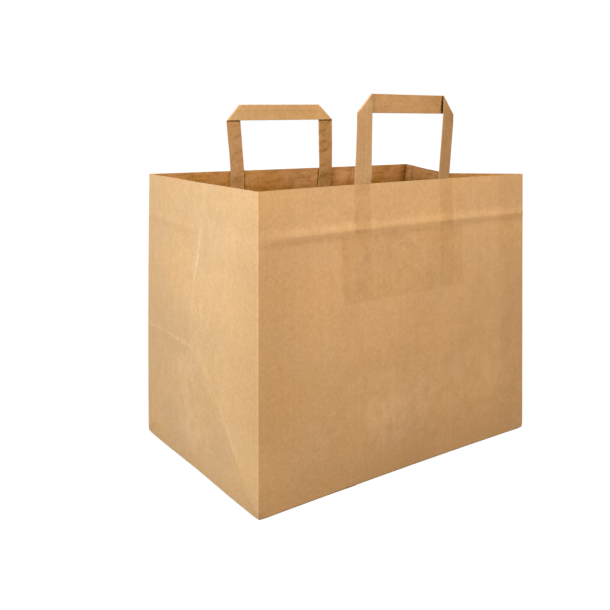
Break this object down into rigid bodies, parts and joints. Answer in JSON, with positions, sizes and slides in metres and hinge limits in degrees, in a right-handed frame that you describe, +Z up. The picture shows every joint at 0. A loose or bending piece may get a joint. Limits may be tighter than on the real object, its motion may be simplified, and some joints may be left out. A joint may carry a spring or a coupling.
{
  "type": "paper carrier bag",
  "caption": "Open kraft paper carrier bag with a folded block bottom, gusseted sides and flat folded paper handles glued inside the mouth.",
  "frame": {"origin": "middle of the base, on the surface the bag stands on", "axes": "+Z up to the mouth and handles, -Y out of the wide front panel, +X towards the gusseted side with the glued seam"},
  "size_m": [0.3247, 0.2154, 0.3407],
  "materials": {
    "kraft_body": "uncoated brown kraft, matt",
    "kraft_strip": "folded kraft strip, matt",
    "kraft_patch": "uncoated brown kraft, matt"
  },
  "bodies": {
    "root": {"bag_body": "kraft_body", "front_handle": "kraft_strip", "back_handle": "kraft_strip", "front_handle_patch": "kraft_patch", "back_handle_patch": "kraft_patch"}
  },
  "joints": []
}
